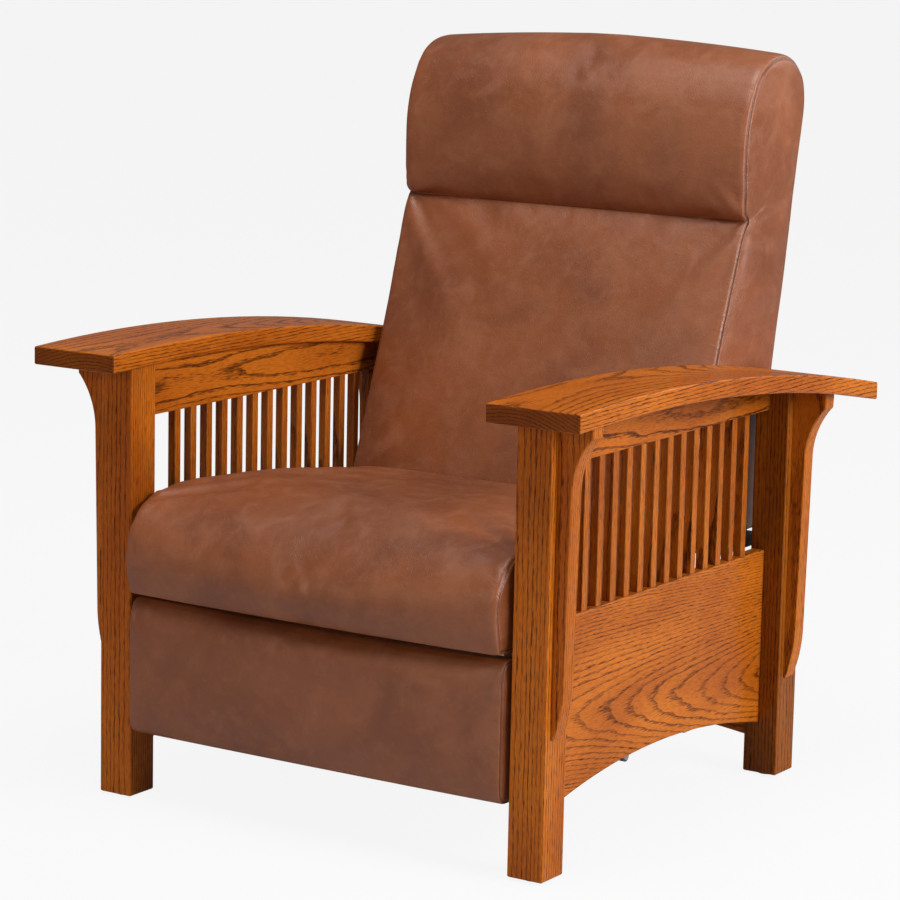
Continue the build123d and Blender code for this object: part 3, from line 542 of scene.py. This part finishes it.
def spaced(length, step, first=CORNER_ROWS, last=CORNER_ROWS):
    """Shares of a length, with even steps and closer rows beside a seam or corner at each end."""
    shares = {row / length for row in first} | {1 - row / length for row in last}
    for share in np.linspace(0, 1, max(2, round(length / step)) + 1):
        if share * length > first[-1] + step * 0.4 and (1 - share) * length > last[-1] + step * 0.4:
            shares.add(share)
    return np.array(sorted(shares))


def length_of(points):
    return np.linalg.norm(np.diff(np.array(points, float), axis=0), axis=1).sum()


def joined_runs(parts, step):
    """Smooth runs end to end, with a seam where two of them meet, and the places of those seams."""
    made = []
    for i, part in enumerate(parts):
        first = SEAM_ROWS if i else CORNER_ROWS
        last = SEAM_ROWS if i < len(parts) - 1 else CORNER_ROWS
        made.append(smooth_run(part, spaced(length_of(part), step, first, last)))
    seams = np.cumsum([len(run) - 1 for run in made])[:-1]
    return np.vstack([made[0]] + [run[1:] for run in made[1:]]), seams


# %% [markdown]
# The next helper joins the runs into a ring, repeats the ring from side to side, and lifts
# each point along the ring's outward direction: most in the middle of the width, and less
# towards the ends, where the seams hold it. The boxing bulges a little too. Then a short
# cloth simulation presses from inside, as the filling does, while the seams are held. Last,
# the stitches pull the seams in, and shallow folds spread from the places where seams meet.

# %% Cushion helper


LIFT_ROUNDS = 14
LIFT_FALL = 2.6
SEAM_REACH = 16.0
STITCH_PULL = 0.0016
SIDE_EASE = 0.006
FILLING_FRAMES = 16


def ring_normals(ring):
    ahead = np.roll(ring, -1, axis=0) - np.roll(ring, 1, axis=0)
    ahead /= np.linalg.norm(ahead, axis=1)[:, None]
    return np.stack([-ahead[:, 1], ahead[:, 0]], axis=1)


def patch(front, top, rear, bottom):
    """A grid inside four runs: along its rows the front and rear, along its columns the rest."""
    along = np.linalg.norm(bottom - bottom[0], axis=1) / np.linalg.norm(bottom[-1] - bottom[0])
    u = along[None, :, None]
    v = np.concatenate([[0], np.cumsum(np.linalg.norm(np.diff(rear, axis=0), axis=1))])
    v = (v / v[-1])[:, None, None]
    ruled = (1 - u) * front[:, None] + u * rear[:, None] + (1 - v) * bottom[None] + v * top[None]
    corners = (1 - u) * (1 - v) * front[0] + u * (1 - v) * rear[0]
    corners = corners + (1 - u) * v * front[-1] + u * v * rear[-1]
    return ruled - corners, u[..., 0], v[..., 0]


def cushion_mesh(name, runs, half_at, step, puff, round_over=10.0, bulge=5.0):
    """A cushion whose half width depends on the place; puff is each run's lift, in mm.

    It also gives the points that stay put when the filling pushes: the seams and the bottom."""
    columns = spaced(length_of(runs[3]), step)
    front, seams = joined_runs(runs[0], step)
    along = np.concatenate([[0], np.cumsum(np.linalg.norm(np.diff(front, axis=0), axis=1))])
    rear = smooth_run(runs[2], along / along[-1])
    top, bottom = smooth_run(runs[1], columns), smooth_run(runs[3], columns)
    ring = np.vstack([front[:-1], top[:-1], rear[:0:-1], bottom[:0:-1]])
    parts = zip((front, top, rear, bottom), puff)
    lift = np.concatenate([np.full(len(part) - 1, amount) for part, amount in parts])
    for _ in range(LIFT_ROUNDS):
        lift = (np.roll(lift, 1) + 2 * lift + np.roll(lift, -1)) / 4
    outward = ring_normals(ring)
    half = half_at(ring)
    stations = spaced(2 * half.mean(), step, SEAM_ROWS, SEAM_ROWS) * 2 - 1
    points, nearness = [], []
    for share in stations:
        gap = half.mean() * (1 - abs(share))
        near = max(0.0, round_over - gap)
        inset = round_over - math.sqrt(round_over**2 - near**2)
        away = lift * (1 - abs(share) ** LIFT_FALL) - inset * 0.55
        section = ring + outward * away[:, None]
        points.append(np.column_stack([half * share, section]))
        nearness.append(np.full(len(ring), math.exp(-gap / SEAM_REACH)))
    shell = np.vstack(points)
    count = len(ring)
    faces = []
    for j in range(len(stations) - 1):
        for i in range(count):
            k = (i + 1) % count
            faces.append((j * count + i, (j + 1) * count + i, (j + 1) * count + k, j * count + k))
    extra = []
    offset = len(shell)
    n, m = len(front), len(bottom)
    for side, station in ((-1, 0), (1, len(stations) - 1)):
        edge_ring = shell[station * count:(station + 1) * count]
        f = edge_ring[:n]
        t = edge_ring[n - 1:n - 1 + m]
        r = edge_ring[n + m - 2:n + m - 2 + n][::-1]
        b = np.vstack([edge_ring[2 * n + m - 3:], edge_ring[:1]])[::-1]
        inside, u, v = patch(f, t, r, b)
        soft = (np.clip(4 * u * (1 - u), 0, 1) ** 0.5) * (np.clip(4 * v * (1 - v), 0, 1) ** 0.35)
        gap_to_edge = np.minimum(np.minimum(u, 1 - u) * length_of(b), np.minimum(v, 1 - v) * length_of(f))
        index = np.zeros((n, m), int)
        base = station * count
        index[:, 0] = base + np.arange(n)
        index[n - 1, :] = base + (n - 1 + np.arange(m))
        index[:, m - 1] = base + (n + m - 2 + np.arange(n))[::-1]
        bottom_row = np.concatenate([[0], (2 * n + m - 3 + np.arange(m - 1))[::-1]])
        index[0, :] = base + bottom_row % count
        index[0, 0] = base
        for i in range(1, n - 1):
            for j in range(1, m - 1):
                index[i, j] = offset + len(extra)
                extra.append(inside[i, j] + (side * bulge * soft[i, j], 0, 0))
                nearness.append([math.exp(-gap_to_edge[i, j] / SEAM_REACH)])
        for i in range(n - 1):
            for j in range(m - 1):
                quad = (index[i, j], index[i, j + 1], index[i + 1, j + 1], index[i + 1, j])
                faces.append(quad if side > 0 else quad[::-1])
    points = in_scene(np.vstack([shell, np.array(extra)]))
    mesh = bpy.data.meshes.new(name)
    mesh.from_pydata([tuple(p) for p in points], [], [tuple(int(i) for i in f) for f in faces])
    mesh.validate()
    made = bpy.data.objects.new(name, mesh)
    bpy.context.scene.collection.objects.link(made)
    sewn = set(range(count)) | set(range(offset - count, offset))
    sewn |= {j * count + int(i) for j in range(len(stations)) for i in seams}
    marks = mesh.attributes.new("seam", "FLOAT", "POINT")
    marks.data.foreach_set("value", [float(i in sewn) for i in range(len(mesh.vertices))])
    mesh.attributes.new("near_seam", "FLOAT", "POINT").data.foreach_set("value", np.concatenate(nearness))
    held = sewn | {j * count + i for j in range(len(stations)) for i in (0, *range(2 * n + m - 3, count))}
    for polygon in mesh.polygons:
        polygon.use_smooth = True
        polygon.material_index = 1 if max(polygon.vertices) >= offset else 0
    print(name, "has", len(mesh.vertices), "points in", count, "around by", len(stations), "across")
    return made, sorted(held)


def sew(made, pull):
    """Pulls the stitched rows in, which leaves a narrow groove along each seam."""
    marks = np.zeros(len(made.data.vertices))
    made.data.attributes["seam"].data.foreach_get("value", marks)
    for vertex in made.data.vertices:
        if marks[vertex.index] > 0.5:
            vertex.co -= vertex.normal * pull
    creases = made.data.attributes.new("crease_edge", "FLOAT", "EDGE")
    both_sewn = [marks[edge.vertices[0]] * marks[edge.vertices[1]] for edge in made.data.edges]
    creases.data.foreach_set("value", np.array(both_sewn) * 0.8)


def fan_out(made, centre, reach, depth, folds):
    """Shallow folds that spread from one place on the left and the same place on the right."""
    for vertex in made.data.vertices:
        out = Vector((abs(vertex.co.x), vertex.co.y, vertex.co.z)) - centre
        share = out.length / reach
        if share < 1:
            level = out.y if abs(vertex.normal.x) > 0.6 else out.x
            angle = math.atan2(out.z, level)
            wave = noise.noise(Vector((angle * folds, share * 1.5, math.copysign(3.0, vertex.co.x))))
            vertex.co += vertex.normal * (depth * wave * 6.75 * share * (1 - share) ** 2)


def stuff(made, held, pressure, spare, cap, widest):
    """Pushes the leather out from inside by a short cloth simulation, with its seams held."""
    pins = made.vertex_groups.new(name="held")
    pins.add(held, 1.0, "REPLACE")
    filling = made.modifiers.new("filling", "CLOTH")
    cloth = filling.settings
    cloth.vertex_group_mass = pins.name
    cloth.quality = 5
    cloth.tension_stiffness = cloth.compression_stiffness = 30
    cloth.shear_stiffness = 15
    cloth.bending_stiffness = 4.0
    cloth.use_pressure = True
    cloth.uniform_pressure_force = pressure
    cloth.shrink_min = -spare
    cloth.effector_weights.gravity = 0
    filling.point_cache.frame_start, filling.point_cache.frame_end = 1, FILLING_FRAMES
    for moment in range(1, FILLING_FRAMES + 1):
        bpy.context.scene.frame_set(moment)
    before = np.zeros(3 * len(made.data.vertices))
    made.data.vertices.foreach_get("co", before)
    pushed = made.evaluated_get(bpy.context.evaluated_depsgraph_get()).data
    after = np.zeros_like(before)
    pushed.vertices.foreach_get("co", after)
    made.modifiers.remove(filling)
    made.vertex_groups.remove(pins)
    move = (after - before).reshape(-1, 3)
    far = np.linalg.norm(move, axis=1)
    most, average = round(far.max() * 1000, 1), round(far.mean() * 1000, 1)
    print(made.name, "pushed out by up to", most, "mm, on average", average)
    move *= (cap * np.tanh(far / cap) / np.maximum(far, 1e-9))[:, None]
    settled = before.reshape(-1, 3) + move
    limit = widest(settled)
    wide = np.abs(settled[:, 0])
    over = np.maximum(wide - limit + SIDE_EASE, 0.0)
    eased = limit - SIDE_EASE * np.exp(-over / SIDE_EASE)
    settled[:, 0] = np.copysign(np.where(over > 0, eased, wide), settled[:, 0])
    made.data.vertices.foreach_set("co", settled.ravel())
    bpy.context.scene.frame_set(1)


def finish_soft(made, materials, body, slot, *nodes, fill=0.7, levels=1):
    """Materials, the seam pull, one subdivision, the body it rides on, and the solid pieces it hides."""
    for finish in materials:
        made.data.materials.append(finish)
    if made.data.attributes.get("seam"):
        sew(made, STITCH_PULL)
    smoother = made.modifiers.new("smoother", "SUBSURF")
    smoother.levels = smoother.render_levels = levels
    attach(made, body)
    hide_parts(*nodes)
    return made


# %% [markdown]
# The seat cushion has a full, rounded nose in front and a top that slopes gently back. Its
# side seams follow the outline, just inside the posts.

# %% Seat cushion
seat_runs = (
    [[(-17, 297), (-24, 327), (-27, 356), (-24, 377), (-12, 398), (8, 419), (40, 434)]],
    [(40, 434), (98, 439), (166, 436), (275, 428), (417, 411), (482, 400)],
    [(462, 294), (468, 330), (474, 362), (482, 400)],
    [(-17, 297), (120, 294), (300, 294), (462, 294)],
)
seat, held = cushion_mesh(
    "seat_cushion_leather", seat_runs, lambda ring: np.full(len(ring), 299.0), 8.0, (4, 0, 2, 0),
    bulge=3.0,
)
stuff(seat, held, 2.5, 0.001, 0.014, lambda points: 0.303)
fan_out(seat, place(299, -10, 385), 0.07, 0.003, 2.6)
finish_soft(seat, (leather_face, leather_side), "seat", "leather", "seat_cushion", fill=0.8)

# %% [markdown]
# The back is one cover. A seam across the front divides a flat lower panel from a fuller
# head roll that hangs slightly over it, and the boxing runs up each side in one piece. The
# cover widens a little from the lower panel to the head and to the rear.

# %% Back cushion
HEAD_SEAM_Z = 796.0


def back_half_at(ring):
    upward = np.clip((ring[:, 1] - 640) / 200, 0, 1)
    front_line = 474 + (ring[:, 1] - 348) * 0.34
    rearward = np.clip((ring[:, 0] - front_line) / 160, 0, 1)
    return 281.0 + 4.5 * np.maximum(upward, rearward)


def back_limit(points):
    """Half the room for the cushion, in metres: narrow between the arms and open above them."""
    above_arms = np.clip((points[:, 2] - 0.66) / 0.1, 0, 1)
    return 0.291 + 0.022 * above_arms


back_runs = (
    [
        [(474, 348), (494, 408), (526, 500), (560, 597), (592, 693), (618, 768), (628, 788),
         (635, HEAD_SEAM_Z)],
        [(635, HEAD_SEAM_Z), (625, 806), (623, 830), (621, 872), (623, 915), (633, 955), (651, 990)],
    ],
    [(651, 990), (669, 1009), (696, 1022), (732, 1026), (765, 1018), (790, 998), (801, 970)],
    [(690, 348), (705, 430), (722, 520), (740, 620), (756, 700), (772, 790), (785, 860), (797, 915),
     (802, 945), (801, 970)],
    [(474, 348), (546, 347), (618, 347), (690, 348)],
)
back, held = cushion_mesh("back_cushion_leather", back_runs, back_half_at, 8.0, (4, 8, 2, 0), bulge=8.0)
stuff(back, held, 2.5, 0.001, 0.014, back_limit)
fan_out(back, place(286, 640, HEAD_SEAM_Z), 0.09, 0.003, 5.0)
finish_soft(back, (leather_face, leather_side), "back", "leather", "lower_back_cushion", "head_cushion")

# %% [markdown]
# The footrest closes the front of the chair below the seat: a thin pad with a flat face and
# tightly turned edges.

# %% Footrest pad
footrest_runs = (
    [[(-7, 104), (-12, 118), (-13, 190), (-13, 250), (-11, 270), (-5, 283)]],
    [(-5, 283), (3, 288), (16, 289), (33, 289)],
    [(33, 98), (33, 160), (33, 220), (33, 289)],
    [(-7, 104), (-1, 99), (12, 98), (33, 98)],
)
footrest, held = cushion_mesh(
    "footrest_leather", footrest_runs, lambda ring: np.full(len(ring), 302.0), 7.0, (3, 0, 0, 0),
    round_over=5.0, bulge=1.0,
)
stuff(footrest, held, 2.0, 0.002, 0.006, lambda points: 0.303)
fan_out(footrest, place(302, -9, 284), 0.06, 0.0025, 2.6)
finish_soft(footrest, (leather_face, leather_side), "footrest", "leather", "footrest_pad", fill=0.9)

# %% [markdown]
# A plain leather panel closes the back from behind. It lies between the cushion's rear
# edges and follows their slope.

# %% Outside back
PANEL_BOTTOM, PANEL_TOP, PANEL_HALF = 346, 940, 277
REAR_AT_BOTTOM, REAR_AT_SEAM = 690.0, 771.5
SEAM_AT_REAR = 794.0


def outside_panel():
    rows, columns = 60, 56
    slope = (REAR_AT_SEAM - REAR_AT_BOTTOM) / (SEAM_AT_REAR - PANEL_BOTTOM)
    points, faces = [], []
    for layer in (0, 1):
        for i in range(rows + 1):
            for j in range(columns + 1):
                z = PANEL_BOTTOM + (PANEL_TOP - PANEL_BOTTOM) * i / rows
                x = -PANEL_HALF + 2 * PANEL_HALF * j / columns
                edge = min(i, rows - i, j, columns - j) / 4
                swell = 3.0 * min(1.0, edge) ** 0.5 if layer else 0.0
                y = REAR_AT_BOTTOM + (z - PANEL_BOTTOM) * slope - 4.0 + swell + layer
                points.append((x, y, z))
    size = (rows + 1) * (columns + 1)
    for layer in (0, 1):
        for i in range(rows):
            for j in range(columns):
                a = layer * size + i * (columns + 1) + j
                quad = (a, a + 1, a + columns + 2, a + columns + 1)
                faces.append(quad if layer == 0 else quad[::-1])
    rim = list(range(columns + 1))
    rim += [i * (columns + 1) + columns for i in range(1, rows + 1)]
    rim += [rows * (columns + 1) + j for j in range(columns - 1, -1, -1)]
    rim += [i * (columns + 1) for i in range(rows - 1, 0, -1)]
    for a, b in zip(rim, rim[1:] + rim[:1]):
        faces.append((b, a, a + size, b + size))
    mesh = bpy.data.meshes.new("outside_back_leather")
    mesh.from_pydata([tuple(p) for p in in_scene(points)], [], faces)
    for polygon in mesh.polygons:
        polygon.use_smooth = True
    made = bpy.data.objects.new("outside_back_leather", mesh)
    bpy.context.scene.collection.objects.link(made)
    return made


finish_soft(outside_panel(), (leather_rear,), "back", "leather", "outside_back", fill=1.0)

# %% [markdown]
# The light is plain and soft, as in a catalogue studio: a large soft box to the right lights
# the side of the chair, a second one lights it from above, a weak warm one in front fills
# the shadows, and a fourth from behind lifts the edges. The floor and sky are nearly white
# to the camera and weak in reflections, and the floor still takes a soft shadow.

# %% Light
AIM = Vector((0.0, 0.0, 0.45))


def soft_box(name, at, size, power, tone=(1.0, 1.0, 1.0)):
    lamp = bpy.data.lights.new(name, "AREA")
    lamp.shape = "RECTANGLE"
    lamp.size, lamp.size_y = size
    lamp.energy = power
    lamp.color = tone
    made = bpy.data.objects.new(name, lamp)
    made.location = at
    made.rotation_euler = (AIM - Vector(at)).to_track_quat("-Z", "Y").to_euler()
    bpy.context.scene.collection.objects.link(made)
    return made


soft_box("key_light", (4.2, 0.1, 2.0), (1.6, 1.6), 190)
soft_box("high_light", (0.3, -1.0, 4.0), (2.0, 2.0), 110)
soft_box("front_light", (-0.6, -4.8, 1.8), (2.0, 1.4), 48, (1.0, 0.78, 0.58))
soft_box("rear_light", (1.9, 3.3, 2.4), (3.0, 2.0), 45)


def seen_as_white(tree, other):
    """A share that is 1 where the camera, a reflection or glass sees the surface."""
    path = node(tree, "LightPath").outputs
    mirrored = maths(tree, "MULTIPLY", path["Is Glossy Ray"], 0.15)
    seen = maths(tree, "MAXIMUM", path["Is Camera Ray"], mirrored)
    return maths(tree, "MULTIPLY", maths(tree, "MAXIMUM", seen, path["Is Transmission Ray"]), other)


world = bpy.data.worlds.new("studio")
world.use_nodes = True
bpy.context.scene.world = world
sky = world.node_tree
sky_strength = maths(sky, "ADD", 0.06, seen_as_white(sky, 0.94))
feed(sky, sky.nodes["Background"].inputs["Color"], (1.0, 1.0, 1.0, 1.0))
feed(sky, sky.nodes["Background"].inputs["Strength"], sky_strength)
bpy.context.scene.view_settings.view_transform = "Standard"

# %% Floor
floor_mesh = bpy.data.meshes.new("floor")
floor_mesh.from_pydata([(-30, -30, 0), (30, -30, 0), (30, 30, 0), (-30, 30, 0)], [], [(0, 1, 2, 3)])
floor = bpy.data.objects.new("floor", floor_mesh)
bpy.context.scene.collection.objects.link(floor)
floor_paint, tree, shader = plain_material("floor_paint")
feed(tree, shader.inputs["Base Color"], (0.5, 0.5, 0.5, 1.0))
shader.inputs["Roughness"].default_value = 0.9
shader.inputs["Specular IOR Level"].default_value = 0.1
glow = node(tree, "Emission", Color=(1.0, 1.0, 1.0, 1.0), Strength=1.0).outputs[0]
both = node(tree, "MixShader", seen_as_white(tree, 0.9), shader.outputs[0], glow)
feed(tree, tree.nodes["Material Output"].inputs["Surface"], both.outputs[0])
floor.data.materials.append(floor_paint)
floor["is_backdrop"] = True

# %% [markdown]
# Last, the size of the dressed chair is printed beside that of the solid model.

dressed_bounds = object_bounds()
show_box("dressed model", dressed_bounds)
